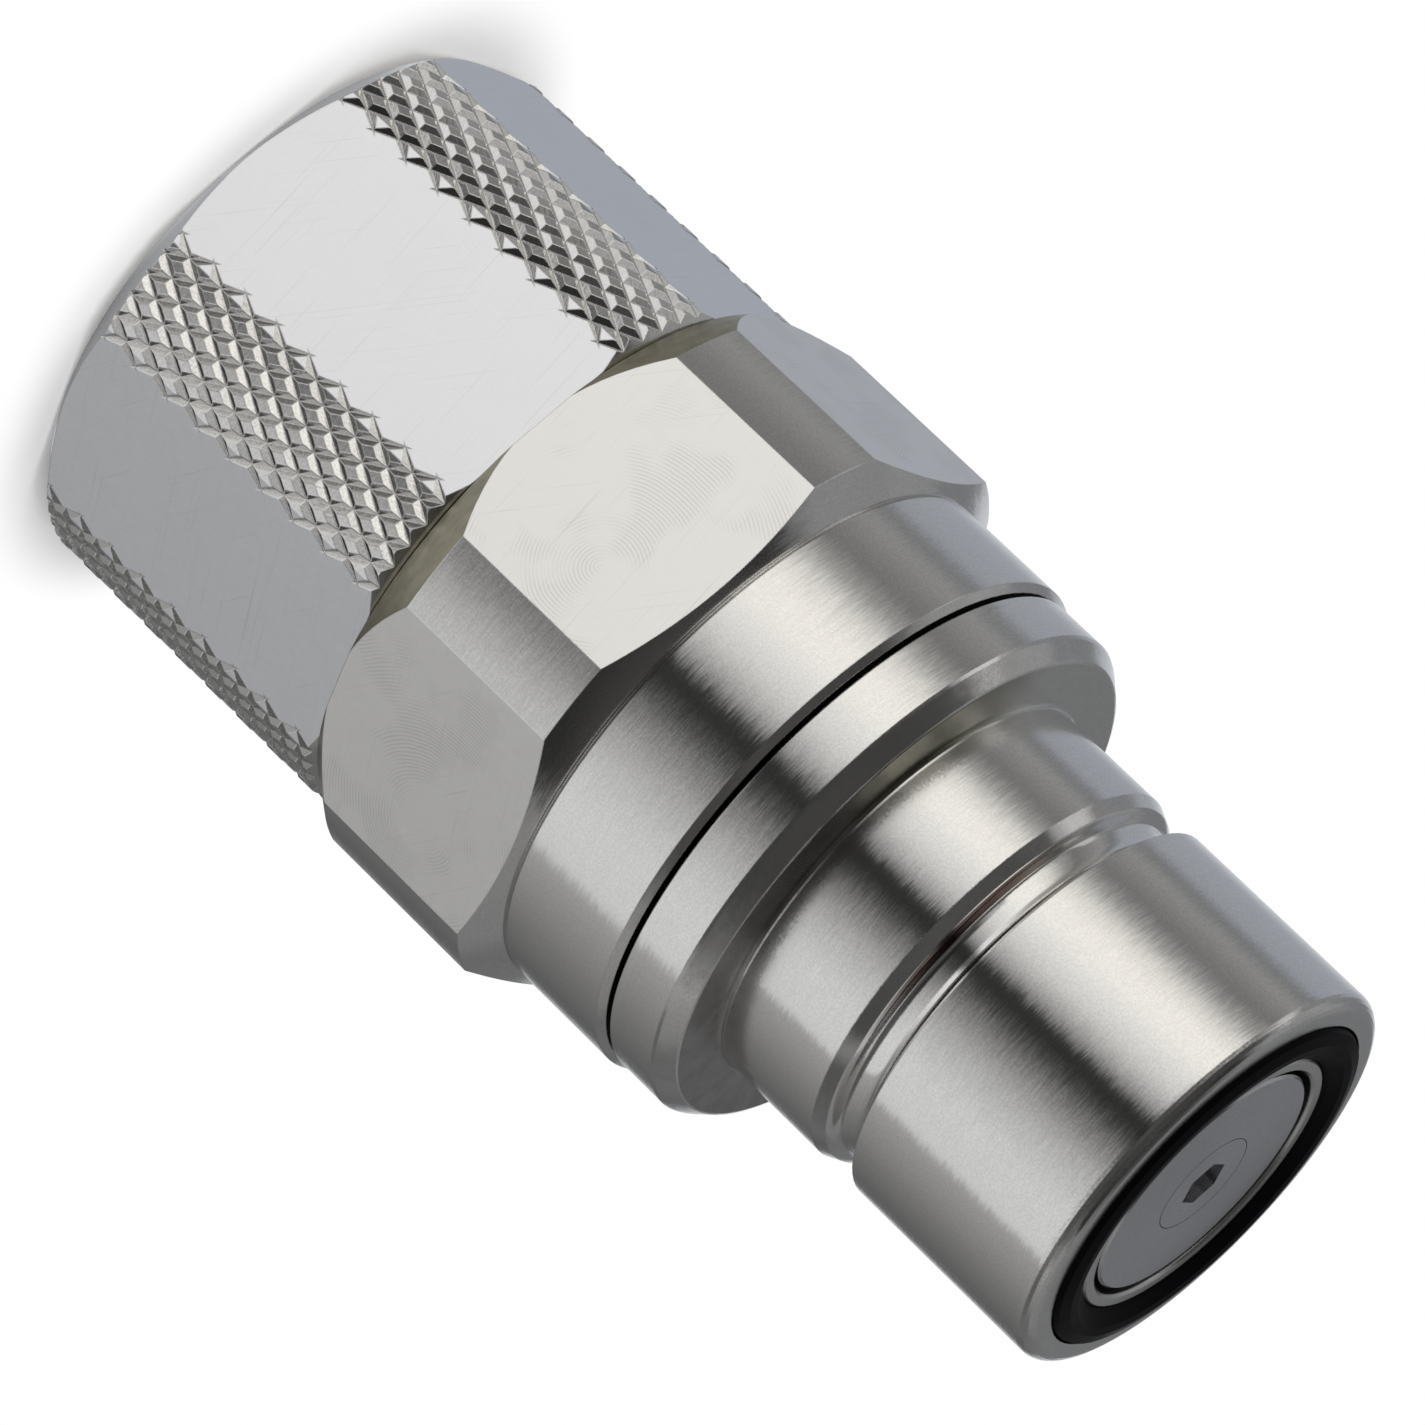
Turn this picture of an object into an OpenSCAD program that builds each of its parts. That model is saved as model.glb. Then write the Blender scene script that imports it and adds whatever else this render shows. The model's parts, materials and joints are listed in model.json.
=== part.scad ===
// Plug half of a flush-face liquid cooling quick coupling, with a clamp nut for plain tube.
// It stands on the free end of the clamp nut with its nose up, and +Z is the common axis.

/* [Tube connection] */
// Outer diameter of the tube that the nut clamps
tube_od = 13; // [12:0.1:14]
// Inner diameter of the tube, which slides over the stem
tube_id = 10; // [9:0.1:10.8]
// Wall of the stem round the flow passage
stem_wall = 1.2; // [0.9:0.05:1.6]
// Setback of the stem from the free end of the nut
stem_setback = 2; // [1.2:0.1:3]
// Depth of the pocket that takes the end of the tube
pocket_depth = 4; // [3:0.2:5]
// Wall of the threaded end round the tube
clamp_wall = 1.85; // [1.6:0.05:2.4]
// Length of the threaded end of the rear body
clamp_thread_len = 6.5; // [5.5:0.1:7.5]

/* [Clamp nut] */
// Length of the clamp nut
nut_len = 13; // [11.6:0.2:15]
// Wall from the thread to the crests of the knurl
nut_rim = 1.65; // [1.4:0.05:2]
// Depth of the wrench flats below the crests
nut_flat_depth = 0.65; // [0.5:0.05:0.9]
// Depth of the chamfer at the free end
nut_chamfer_depth = 0.75; // [0.5:0.05:0.9]
// Length of the chamfer at the free end
nut_chamfer_len = 1.15; // [0.6:0.05:1.5]
// Thickness of the end wall that pushes on the clamp ring
nut_wall = 1.7; // [1.2:0.1:2.2]
// Angle of the nut's flats against the flats of the rear body, tightened
nut_roll = 1; // [0:0.5:10]

/* [Knurl] */
// Diamonds round the whole nut
knurl_count = 78; // [60:6:84]
// Length of a diamond along the axis
knurl_pitch = 1.4; // [1.2:0.05:2]
// Depth from crest to groove
knurl_depth = 0.18; // [0.12:0.01:0.35]

/* [Rear body] */
// Wall from the joint thread to the wrench flats
hex_wall = 2; // [1.7:0.05:2.4]
// Height of the bar's round corners above the flats
corner_rise = 0.85; // [0.5:0.05:1.2]
// Length of the hexagon
hex_len = 7.9; // [6.5:0.1:10]
// Wall of the collar round the joint thread
collar_wall = 1.65; // [1.3:0.05:1.9]
// Length of the collar behind the joint
rear_collar_len = 4.3; // [3.6:0.1:6]
// Edge break of this collar at the joint
rear_collar_chamfer = 0.22; // [0.1:0.02:0.4]

/* [Front body] */
// Visible gap between the two collars
joint_gap = 0.3; // [0.1:0.05:0.5]
// Step down from the rear collar to the front one
collar_step = 0.2; // [0:0.05:0.4]
// Length of the collar of the front body
front_collar_len = 2.3; // [1.6:0.1:4]
// Edge break of the front collar
front_collar_chamfer = 0.58; // [0.3:0.02:0.8]
// Wall of the threaded spigot of the front body
spigot_wall = 2.15; // [1.8:0.05:2.5]
// Length of the threaded spigot of the front body
spigot_len = 4.9; // [4.4:0.1:5.6]

/* [Nose] */
// Wall of the nose round the valve chamber
nose_wall = 1.4; // [1.2:0.05:1.8]
// Length of the neck between collar and locking groove
neck_len = 3.9; // [3:0.1:6]
// Length of the nose in front of the locking groove
nose_len = 7.45; // [6.4:0.05:10]
// Width of the locking groove
groove_w = 1.78; // [1.5:0.02:2.4]
// Depth of the locking groove
groove_depth = 0.75; // [0.5:0.05:0.9]
// Width of the metal rim round the face seal
rim_w = 0.96; // [0.8:0.02:1.1]
// Radius of the rounded rim at the nose
rim_r = 0.52; // [0.3:0.02:0.6]

/* [Face seal] */
// Thickness of the face seal up to the rim
seal_t = 1.6; // [1.2:0.1:2]
// Height of the seal's crown above the rim
seal_crown = 0.25; // [0.1:0.05:0.4]

/* [Valve] */
// Bore of the seat sleeve
sleeve_bore_d = 8.8; // [7.8:0.1:10]
// Wall of the seat sleeve at the face
sleeve_wall = 0.47; // [0.35:0.01:0.6]
// Width of the sleeve's flange behind the face seal
sleeve_flange_w = 1.4; // [1.2:0.05:1.7]
// Thickness of the sleeve's flange behind the face seal
sleeve_flange_t = 1.85; // [1.6:0.05:2.2]
// Gap between the valve disc and the sleeve
disc_gap = 0.21; // [0.1:0.01:0.3]
// Thickness of the valve disc
disc_t = 0.9; // [0.8:0.05:1.1]
// Diameter of the screw head in the disc
screw_head_d = 3.5; // [3:0.1:3.8]
// Thread diameter of the valve screw
screw_d = 2; // [1.8:0.1:2.2]
// Length of the valve screw
screw_len = 3.6; // [2.6:0.1:5]
// Diameter of the valve rod
rod_d = 4; // [3.4:0.1:4.6]
// Thickness of the stop behind the seat sleeve
stop_t = 1; // [0.7:0.1:1.5]

/* [O-rings] */
// Cord diameter of the O-ring between the bodies
body_ring_d = 0.94; // [0.7:0.02:1.1]
// Cord diameter of the O-ring round the seat sleeve
sleeve_ring_d = 0.64; // [0.5:0.02:0.7]
// Cord diameter of the O-ring on the valve
valve_ring_d = 1.02; // [0.8:0.02:1.1]

/* [Spring and guide] */
// Wire diameter of the valve spring
wire_d = 0.8; // [0.6:0.05:0.9]
// Number of turns that flex
spring_turns = 6; // [4:1:7]
// Thickness of the guide's ring and arms
guide_t = 2; // [1.6:0.1:2.4]
// Wall of the hub round the rod
hub_wall = 1.05; // [0.8:0.05:1.3]
// Length of the hub that guides the rod
hub_len = 7; // [5:0.5:8]
// Width of each arm
arm_w = 1.6; // [1.2:0.1:2]

/* [Hidden] */
$fn = 96;

// Clearances and small edges
thread_gap = 0.05;
press_gap = 0.01;
slide_gap = 0.03;
seat_gap = 0.1;
ring_gap = 0.25;
tube_gap = 0.15;
edge = 0.12;
through = 1;

// Stations along the axis, from the free end of the nut to the face of the nose
hex_z0 = nut_len + seat_gap;
hex_z1 = hex_z0 + hex_len;
rear_z1 = hex_z1 + rear_collar_len;
front_z0 = rear_z1 + joint_gap;
neck_z0 = front_z0 + front_collar_len;
groove_z0 = neck_z0 + neck_len;
groove_z1 = groove_z0 + groove_w;
face_z = groove_z1 + nose_len;

// Radii from the valve outwards: sleeve, chamber, nose, joint thread, collars and hexagon
sleeve_ir = sleeve_bore_d / 2;
sleeve_or = sleeve_ir + sleeve_wall;
chamber_r = sleeve_ir + sleeve_flange_w;
nose_r = chamber_r + nose_wall;
groove_r = nose_r - groove_depth;
seal_r = nose_r - rim_w;
spigot_r = chamber_r + spigot_wall;
joint_r = spigot_r + thread_gap;
rear_collar_r = joint_r + collar_wall;
front_collar_r = rear_collar_r - collar_step;
hex_af = 2 * (joint_r + hex_wall);
bar_r = hex_af / 2 + corner_rise;

// Radii from the tube outwards: stem, hole, threaded end and nut
stem_r = tube_id / 2;
flow_r = stem_r - stem_wall;
hole_r = tube_od / 2 + tube_gap;
clamp_thread_r = hole_r + clamp_wall;
nut_thread_r = clamp_thread_r + thread_gap;
nut_crest_r = nut_thread_r + nut_rim;
nut_af = 2 * (nut_crest_r - nut_flat_depth);
nut_end_r = nut_crest_r - nut_chamfer_depth;

// Threaded end of the rear body
clamp_thread_z0 = hex_z0 - clamp_thread_len;
pocket_z1 = clamp_thread_z0 + pocket_depth;
mouth_r = hole_r + clamp_wall / 2;
mouth_depth = 1.9;

// Joint of the two bodies and the chamber behind the guide
spigot_z0 = front_z0 - spigot_len;
guide_z0 = spigot_z0 - guide_t;
cone_len = 2.4;
chamber_z0 = guide_z0 - 2.6;
body_groove_r = joint_r - body_ring_d - 0.06;
body_groove_w = body_ring_d * 1.38;
body_groove_z1 = rear_z1 - 0.5;

// Clamp ring, and the pocket for it in the nut
ring_entry = 0.7;
ring_or = clamp_thread_r - 0.55;
ring_z0 = nut_wall + seat_gap;
ring_z1 = clamp_thread_z0 - 0.4;
ring_tip_r = mouth_r - (mouth_r - hole_r) * ring_entry / mouth_depth - ring_gap;
nut_pocket_r = ring_or + ring_gap;
nut_pocket_z1 = clamp_thread_z0 - 0.3;

// Knurl: the patches sit on the six corners of the nut and are cut back by the flats
nut_groove_r = nut_crest_r - knurl_depth;
nut_core_r = nut_groove_r - 0.06;
knurl_step = 180 / knurl_count;
knurl_half = ceil((31 - acos(nut_af / 2 / nut_groove_r)) / knurl_step) + 1;
knurl_z0 = nut_chamfer_len * (nut_core_r + 0.03 - nut_end_r) / nut_chamfer_depth;
knurl_z1 = nut_len - 0.25;
knurl_rows = round((knurl_z1 - knurl_z0) / (knurl_pitch / 2));
knurl_dz = (knurl_z1 - knurl_z0) / knurl_rows;

// Face seal and seat sleeve
neck_fillet = 0.16;
seal_z0 = face_z - seal_t;
flange_r = chamber_r - press_gap;
flange_z0 = seal_z0 - sleeve_flange_t;
sleeve_top = face_z - 0.06;
sleeve_groove_z = (flange_z0 + seal_z0) / 2;
sleeve_groove_w = sleeve_ring_d * 1.4;
sleeve_groove_r = chamber_r - sleeve_ring_d - 0.06;

// Valve, measured back from the face
disc_top = face_z - 0.12;
disc_r = sleeve_ir - disc_gap;
disc_z0 = disc_top - disc_t;
land_r = sleeve_ir - valve_ring_d - 0.08;
land_len = valve_ring_d * 1.28;
land_z0 = disc_z0 - land_len;
shoulder_r = sleeve_ir - seat_gap;
stop_r = (sleeve_ir + chamber_r) / 2 - 0.1;
stop_z1 = flange_z0 - seat_gap;
stop_z0 = stop_z1 - stop_t;
rod_r = rod_d / 2;
bolt_r = screw_d / 2;
bolt_z0 = disc_top - screw_len;

// Spring and guide
wire_r = wire_d / 2;
hub_r = rod_r + hub_wall;
coil_r = hub_r + 0.3 + wire_r;
pilot_r = hub_r;
hub_z0 = guide_z0 - 1.5;
hub_z1 = hub_z0 + hub_len;
seat_z = spigot_z0 + 0.8;
rod_z0 = hub_z0 + 2;
spring_z0 = seat_z + 0.05;
spring_z1 = stop_z0 - 0.05;

// Points of an arc about [r, z], from angle a0 to a1
function arc(r, z, radius, a0, a1, n = 5) =
    [for (i = [0:n]) let (a = a0 + (a1 - a0) * i / n) [r + radius * cos(a), z + radius * sin(a)]];

// A solid of revolution from a closed outline of [r, z] points
module turned(outline) {
    rotate_extrude() polygon(outline);
}

// A hexagonal prism with flats that face +Y and -Y
module hex_prism(af, z0, z1) {
    translate([0, 0, z0]) cylinder(h = z1 - z0, d = af / cos(30), $fn = 6);
}

module o_ring(r, z, section_r) {
    rotate_extrude() translate([r, z]) circle(r = section_r, $fn = 32);
}

// ---- Clamp nut ----

// Radius that the end chamfers leave at height z
function nut_limit_r(z) = min(
    nut_end_r + nut_chamfer_depth * z / nut_chamfer_len,
    nut_crest_r,
    nut_crest_r - 0.35 + (nut_len - z)
);

// Grooves run through the points with an even sum of steps, and a crest stands between them
function knurl_r(i, j) = min(
    ((i + j) % 2 == 0) ? nut_groove_r : nut_crest_r,
    nut_limit_r(knurl_z0 + j * knurl_dz)
);

function ring_point(r, a, z) = [r * cos(a), r * sin(a), z];

// One patch of diamonds, with every cell folded along the groove that crosses it
module knurl_patch() {
    cols = 2 * knurl_half;
    w = cols + 1;
    base = w * (knurl_rows + 1);
    inner_r = nut_core_r - 0.7;
    top_points = [for (j = [0:knurl_rows], i = [0:cols])
        ring_point(knurl_r(i, j), (i - knurl_half) * knurl_step, knurl_z0 + j * knurl_dz)];
    base_points = [for (j = [0:knurl_rows], i = [0:cols])
        ring_point(inner_r, (i - knurl_half) * knurl_step, knurl_z0 + j * knurl_dz)];
    top_faces = [for (j = [0:knurl_rows - 1], i = [0:cols - 1], half = [0, 1])
        let (a = j * w + i, even = (i + j) % 2 == 0)
        even
            ? (half == 0 ? [a, a + w + 1, a + 1] : [a, a + w, a + w + 1])
            : (half == 0 ? [a, a + w, a + 1] : [a + 1, a + w, a + w + 1])];
    back_faces = [for (i = [0:cols - 1])
        [base + i, base + i + 1, base + knurl_rows * w + i + 1, base + knurl_rows * w + i]];
    low_faces = [for (i = [0:cols - 1]) [i, i + 1, base + i + 1, base + i]];
    high_faces = [for (i = [0:cols - 1])
        let (a = knurl_rows * w + i) [a + 1, a, base + a, base + a + 1]];
    first_side = concat(
        [for (j = [knurl_rows:-1:0]) j * w],
        [base, base + knurl_rows * w]);
    last_side = concat(
        [for (j = [0:knurl_rows]) j * w + cols],
        [base + knurl_rows * w + cols, base + cols]);
    polyhedron(
        points = concat(top_points, base_points),
        faces = concat(top_faces, back_faces, low_faces, high_faces, [first_side, last_side]));
}

module nut_blank() {
    turned([
        [0, 0],
        [nut_end_r, 0],
        [nut_core_r, nut_chamfer_len * (nut_core_r - nut_end_r) / nut_chamfer_depth],
        [nut_core_r, nut_len - 0.2],
        [nut_core_r - 0.2, nut_len],
        [0, nut_len]
    ]);
}

// Tube hole, pocket of the clamp ring and thread
module nut_cavity() {
    entry = 0.35;
    turned([
        [0, -through],
        [hole_r + 0.1 + entry, -through],
        [hole_r + 0.1 + entry, 0],
        [hole_r + 0.1, entry],
        [hole_r + 0.1, nut_wall],
        [nut_pocket_r, nut_wall],
        [nut_pocket_r, nut_pocket_z1],
        [nut_thread_r, nut_pocket_z1 + (nut_thread_r - nut_pocket_r)],
        [nut_thread_r, nut_len - entry],
        [nut_thread_r + entry, nut_len],
        [nut_thread_r + entry, nut_len + through],
        [0, nut_len + through]
    ]);
}

module clamp_nut() {
    color([0.80, 0.79, 0.77]) rotate(nut_roll) difference() {
        intersection() {
            union() {
                nut_blank();
                for (k = [0:5]) rotate(60 * k) knurl_patch();
            }
            hex_prism(nut_af, -through, nut_len + through);
        }
        nut_cavity();
    }
}

// Split ring that the nut squeezes on the tube
module clamp_ring() {
    slit = 0.8;
    color([0.72, 0.71, 0.68]) difference() {
        turned([
            [hole_r, ring_z0],
            [ring_or - 0.3, ring_z0],
            [ring_or, ring_z0 + 0.3],
            [ring_or, ring_z1 - 0.2],
            [ring_or - 0.2, ring_z1],
            [mouth_r - ring_gap, ring_z1],
            [ring_tip_r, clamp_thread_z0 + ring_entry],
            [hole_r, clamp_thread_z0 + ring_entry]
        ]);
        translate([0, -slit / 2, ring_z0 - through]) cube([nut_crest_r, slit, nut_len]);
    }
}

// ---- Rear body ----

// Bar with a long chamfer towards the nut and a flat one towards the collar
module hex_blank() {
    nut_side = hex_af / 2 + 0.06;
    turned([
        [0, hex_z0],
        [nut_side, hex_z0],
        [bar_r, hex_z0 + (bar_r - nut_side) / tan(33)],
        [bar_r, hex_z1 - (bar_r - rear_collar_r) * tan(30)],
        [rear_collar_r, hex_z1],
        [0, hex_z1]
    ]);
}

// Threaded end, collar and the bar between them
module rear_turning() {
    relief = 0.55;
    turned([
        [0, clamp_thread_z0],
        [clamp_thread_r - 0.3, clamp_thread_z0],
        [clamp_thread_r, clamp_thread_z0 + 0.3],
        [clamp_thread_r, hex_z0 - 1.1],
        [clamp_thread_r - relief, hex_z0 - 1.1 + relief],
        [clamp_thread_r - relief, hex_z0 + 0.5],
        [0, hex_z0 + 0.5]
    ]);
    turned([
        [0, hex_z1 - 0.5],
        [rear_collar_r - 0.1, hex_z1 - 0.5],
        [rear_collar_r - 0.1, hex_z1 + 0.06],
        [rear_collar_r, hex_z1 + 0.16],
        [rear_collar_r, rear_z1 - rear_collar_chamfer],
        [rear_collar_r - rear_collar_chamfer, rear_z1],
        [0, rear_z1]
    ]);
}

// Pocket for the tube, round the stem, with a flared mouth for the clamp ring
module tube_pocket() {
    turned([
        [stem_r, clamp_thread_z0 - through],
        [mouth_r, clamp_thread_z0 - through],
        [mouth_r, clamp_thread_z0],
        [hole_r, clamp_thread_z0 + mouth_depth],
        [hole_r, pocket_z1],
        [stem_r, pocket_z1]
    ]);
}

// Stem with a single barb at its end
module tube_stem() {
    barb = 0.3;
    barb_len = 1.8;
    turned([
        [0, stem_setback],
        [stem_r - 0.42 * stem_wall, stem_setback],
        [stem_r + barb, stem_setback + barb_len],
        [stem_r + barb, stem_setback + barb_len + 0.3],
        [stem_r, stem_setback + barb_len + 0.3 + barb],
        [stem_r, pocket_z1 + 0.5],
        [0, pocket_z1 + 0.5]
    ]);
}

// Flow passage, its cone, the chamber behind the guide and the tapped socket
module rear_bore() {
    turned([
        [0, stem_setback - through],
        [flow_r + 0.33 * stem_wall, stem_setback - through],
        [flow_r + 0.33 * stem_wall, stem_setback],
        [flow_r, stem_setback + 0.33 * stem_wall],
        [flow_r, chamber_z0 - cone_len],
        [chamber_r, chamber_z0],
        [chamber_r, guide_z0],
        [joint_r, guide_z0],
        [joint_r, rear_z1 - 0.4],
        [joint_r + 0.4, rear_z1],
        [joint_r + 0.4, rear_z1 + through],
        [0, rear_z1 + through]
    ]);
}

module rear_body() {
    color([0.83, 0.82, 0.80]) difference() {
        union() {
            difference() {
                union() {
                    intersection() {
                        hex_blank();
                        hex_prism(hex_af, hex_z0 - through, hex_z1 + through);
                    }
                    rear_turning();
                }
                tube_pocket();
            }
            tube_stem();
        }
        rear_bore();
    }
}

// ---- Front body ----

module body_o_ring() {
    color([0.05, 0.05, 0.05])
        o_ring((body_groove_r + joint_r) / 2, body_groove_z1 - body_groove_w / 2, body_ring_d / 2);
}

// Rounded groove for the locking balls: sloped towards the neck and steep towards the nose
function groove_outline() = concat(
    [[nose_r, groove_z0], [nose_r - 0.28 * groove_depth, groove_z0 + 0.24 * groove_w]],
    arc(groove_r + 0.4 * groove_w, groove_z0 + 0.58 * groove_w, 0.4 * groove_w, 228, 148, 8),
    [[nose_r, groove_z1]]
);

module nose_body() {
    chamfer = front_collar_chamfer;
    color([0.83, 0.82, 0.80]) turned(concat(
        [
            [chamber_r, spigot_z0],
            [spigot_r - 0.4, spigot_z0],
            [spigot_r, spigot_z0 + 0.4],
            [spigot_r, body_groove_z1 - body_groove_w],
            [body_groove_r, body_groove_z1 - body_groove_w],
            [body_groove_r, body_groove_z1],
            [spigot_r, body_groove_z1],
            [spigot_r, front_z0],
            [front_collar_r - edge, front_z0],
            [front_collar_r, front_z0 + edge],
            [front_collar_r, neck_z0 - chamfer - 0.06],
            [front_collar_r - 0.06, neck_z0 - chamfer + 0.04],
            [front_collar_r - chamfer + 0.1, neck_z0 - 0.04],
            [front_collar_r - chamfer, neck_z0]
        ],
        arc(nose_r + neck_fillet, neck_z0 + neck_fillet, neck_fillet, 270, 180, 4),
        groove_outline(),
        arc(nose_r - rim_r, face_z - rim_r, rim_r, 0, 90, 6),
        [
            [seal_r, face_z],
            [seal_r, seal_z0],
            [chamber_r, seal_z0]
        ]
    ));
}

// Rubber ring with a crowned face, which stands a little above the rim
module face_seal() {
    inner = sleeve_or + slide_gap;
    outer = seal_r - slide_gap;
    mid = (inner + outer) / 2;
    shoulder = face_z - 0.1;
    color([0.04, 0.04, 0.045]) turned([
        [inner, seal_z0 + slide_gap],
        [outer, seal_z0 + slide_gap],
        [outer, shoulder],
        [outer - 0.12, face_z + 0.6 * seal_crown],
        [mid + 0.15, face_z + seal_crown],
        [mid - 0.15, face_z + 0.9 * seal_crown],
        [inner + 0.1, face_z],
        [inner, shoulder]
    ]);
}

// ---- Valve ----

// Thin ring at the face with a flange behind the face seal; its bore seals the valve
module seat_sleeve() {
    half = sleeve_groove_w / 2;
    color([0.78, 0.77, 0.75]) turned([
        [sleeve_ir + 0.2, flange_z0],
        [flange_r, flange_z0],
        [flange_r, sleeve_groove_z - half],
        [sleeve_groove_r, sleeve_groove_z - half],
        [sleeve_groove_r, sleeve_groove_z + half],
        [flange_r, sleeve_groove_z + half],
        [flange_r, seal_z0],
        [sleeve_or, seal_z0],
        [sleeve_or, sleeve_top - 0.08],
        [sleeve_or - 0.08, sleeve_top],
        [sleeve_ir + 0.08, sleeve_top],
        [sleeve_ir, sleeve_top - 0.08],
        [sleeve_ir, flange_z0 + 0.2]
    ]);
}

module sleeve_o_ring() {
    color([0.05, 0.05, 0.05])
        o_ring((sleeve_groove_r + chamber_r) / 2, sleeve_groove_z, sleeve_ring_d / 2);
}

// Flush disc with a countersunk hole
module valve_disc() {
    hole = bolt_r + slide_gap;
    head = screw_head_d / 2 + slide_gap;
    color([0.74, 0.75, 0.77]) turned([
        [hole, disc_z0],
        [disc_r, disc_z0],
        [disc_r, disc_top - 0.08],
        [disc_r - 0.08, disc_top],
        [head, disc_top],
        [head, disc_top - 0.1],
        [hole, disc_top - 0.1 - (head - hole) * 0.6]
    ]);
}

module valve_screw() {
    head = screw_head_d / 2;
    socket_af = 1.5;
    color([0.70, 0.71, 0.73]) difference() {
        turned([
            [0, bolt_z0],
            [bolt_r, bolt_z0],
            [bolt_r, disc_top - 0.1 - (head - bolt_r) * 0.6],
            [head, disc_top - 0.1],
            [head, disc_top],
            [0, disc_top]
        ]);
        hex_prism(socket_af, disc_top - 0.8, disc_top + through);
    }
}

module valve_o_ring() {
    color([0.05, 0.05, 0.05])
        o_ring(land_r + 0.03 + valve_ring_d / 2, land_z0 + land_len / 2, valve_ring_d / 2);
}

// Rod with the spring seat, the stop behind the sleeve and the land of the O-ring
module valve_stem() {
    color([0.76, 0.75, 0.73]) difference() {
        turned([
            [0, rod_z0],
            [rod_r - 0.4, rod_z0],
            [rod_r, rod_z0 + 0.4],
            [rod_r, stop_z0 - 2],
            [pilot_r - 0.3, stop_z0 - 1.5],
            [pilot_r, stop_z0 - 1.1],
            [pilot_r, stop_z0],
            [stop_r - 0.15, stop_z0],
            [stop_r, stop_z0 + 0.15],
            [stop_r, stop_z1 - 0.15],
            [stop_r - 0.15, stop_z1],
            [shoulder_r, stop_z1],
            [shoulder_r, land_z0],
            [land_r, land_z0],
            [land_r, disc_z0],
            [0, disc_z0]
        ]);
        translate([0, 0, bolt_z0 - 0.3]) cylinder(h = face_z - bolt_z0, r = bolt_r + press_gap);
    }
}

// Height of the wire's centre after t turns: closed end turns and evenly open ones between them
function coil_z(t) =
    let (
        closed = wire_d * 1.04,
        open = (spring_z1 - spring_z0 - wire_d - 2 * closed) / spring_turns,
        start = spring_z0 + wire_r
    )
    t < 1 ? start + t * closed
    : t < 1 + spring_turns ? start + closed + (t - 1) * open
    : start + closed + spring_turns * open + (t - 1 - spring_turns) * closed;

module valve_spring() {
    sides = 8;
    per_turn = 16;
    rings = per_turn * (spring_turns + 2);
    points = [for (k = [0:rings], s = [0:sides - 1])
        let (
            r = coil_r + wire_r * cos(360 * s / sides),
            z = coil_z(k / per_turn) + wire_r * sin(360 * s / sides)
        )
        ring_point(r, 360 * k / per_turn, z)];
    wall = [for (k = [0:rings - 1], s = [0:sides - 1])
        let (a = k * sides + s, b = k * sides + (s + 1) % sides)
        [a, a + sides, b + sides, b]];
    first = [for (s = [0:sides - 1]) s];
    last = [for (s = [sides - 1:-1:0]) rings * sides + s];
    color([0.62, 0.62, 0.62]) polyhedron(points, concat([first], wall, [last]), convexity = 10);
}

// Ring, three arms and the hub that guides the rod; clamped under the front body
module valve_guide() {
    ring_r = joint_r - thread_gap;
    top = spigot_z0 - slide_gap;
    color([0.70, 0.68, 0.62]) difference() {
        union() {
            turned([
                [chamber_r, guide_z0],
                [ring_r, guide_z0],
                [ring_r, top],
                [chamber_r, top]
            ]);
            for (k = [0:2]) rotate(120 * k + 30)
                translate([0, -arm_w / 2, guide_z0]) cube([chamber_r + 0.3, arm_w, guide_t - slide_gap]);
            turned([
                [0, hub_z0],
                [hub_r - 0.4, hub_z0],
                [hub_r, hub_z0 + 0.4],
                [hub_r, guide_z0 + 0.6],
                [coil_r + wire_r + 0.25, guide_z0 + guide_t - 0.5],
                [coil_r + wire_r + 0.25, seat_z],
                [hub_r, seat_z],
                [hub_r, hub_z1 - 0.3],
                [hub_r - 0.3, hub_z1],
                [0, hub_z1]
            ]);
        }
        translate([0, 0, hub_z0 - through]) cylinder(h = hub_len + 2 * through, r = rod_r + slide_gap);
    }
}

clamp_nut();
clamp_ring();
rear_body();
body_o_ring();
nose_body();
face_seal();
seat_sleeve();
sleeve_o_ring();
valve_disc();
valve_screw();
valve_o_ring();
valve_stem();
valve_spring();
valve_guide();
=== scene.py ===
"""Looks of the quick coupling plug: turned and milled steel, rubber seals, studio light and camera."""

import json
import math
from collections import namedtuple

import bmesh
import bpy
from mathutils import Matrix, Vector

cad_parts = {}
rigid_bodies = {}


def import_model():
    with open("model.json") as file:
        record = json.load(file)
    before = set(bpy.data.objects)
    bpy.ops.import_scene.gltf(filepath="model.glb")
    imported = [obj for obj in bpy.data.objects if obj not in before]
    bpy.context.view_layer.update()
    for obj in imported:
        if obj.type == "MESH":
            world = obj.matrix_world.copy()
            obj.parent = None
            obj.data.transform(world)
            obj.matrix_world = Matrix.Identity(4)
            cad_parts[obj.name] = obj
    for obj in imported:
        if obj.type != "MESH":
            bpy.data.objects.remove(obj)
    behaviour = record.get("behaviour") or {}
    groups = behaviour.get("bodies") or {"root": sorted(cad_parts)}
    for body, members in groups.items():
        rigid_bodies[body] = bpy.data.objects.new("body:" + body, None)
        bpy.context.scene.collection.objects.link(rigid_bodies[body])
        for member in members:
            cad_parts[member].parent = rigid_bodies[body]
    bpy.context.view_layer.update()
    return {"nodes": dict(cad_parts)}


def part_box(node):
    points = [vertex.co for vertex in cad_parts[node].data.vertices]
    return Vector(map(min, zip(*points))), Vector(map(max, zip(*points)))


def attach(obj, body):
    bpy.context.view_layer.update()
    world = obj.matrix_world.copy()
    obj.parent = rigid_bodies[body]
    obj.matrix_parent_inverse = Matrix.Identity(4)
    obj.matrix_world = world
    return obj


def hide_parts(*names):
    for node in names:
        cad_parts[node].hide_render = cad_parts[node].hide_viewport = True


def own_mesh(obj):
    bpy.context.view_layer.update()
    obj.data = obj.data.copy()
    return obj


for leftover in list(bpy.data.objects):
    bpy.data.objects.remove(leftover)
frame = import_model()
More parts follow.
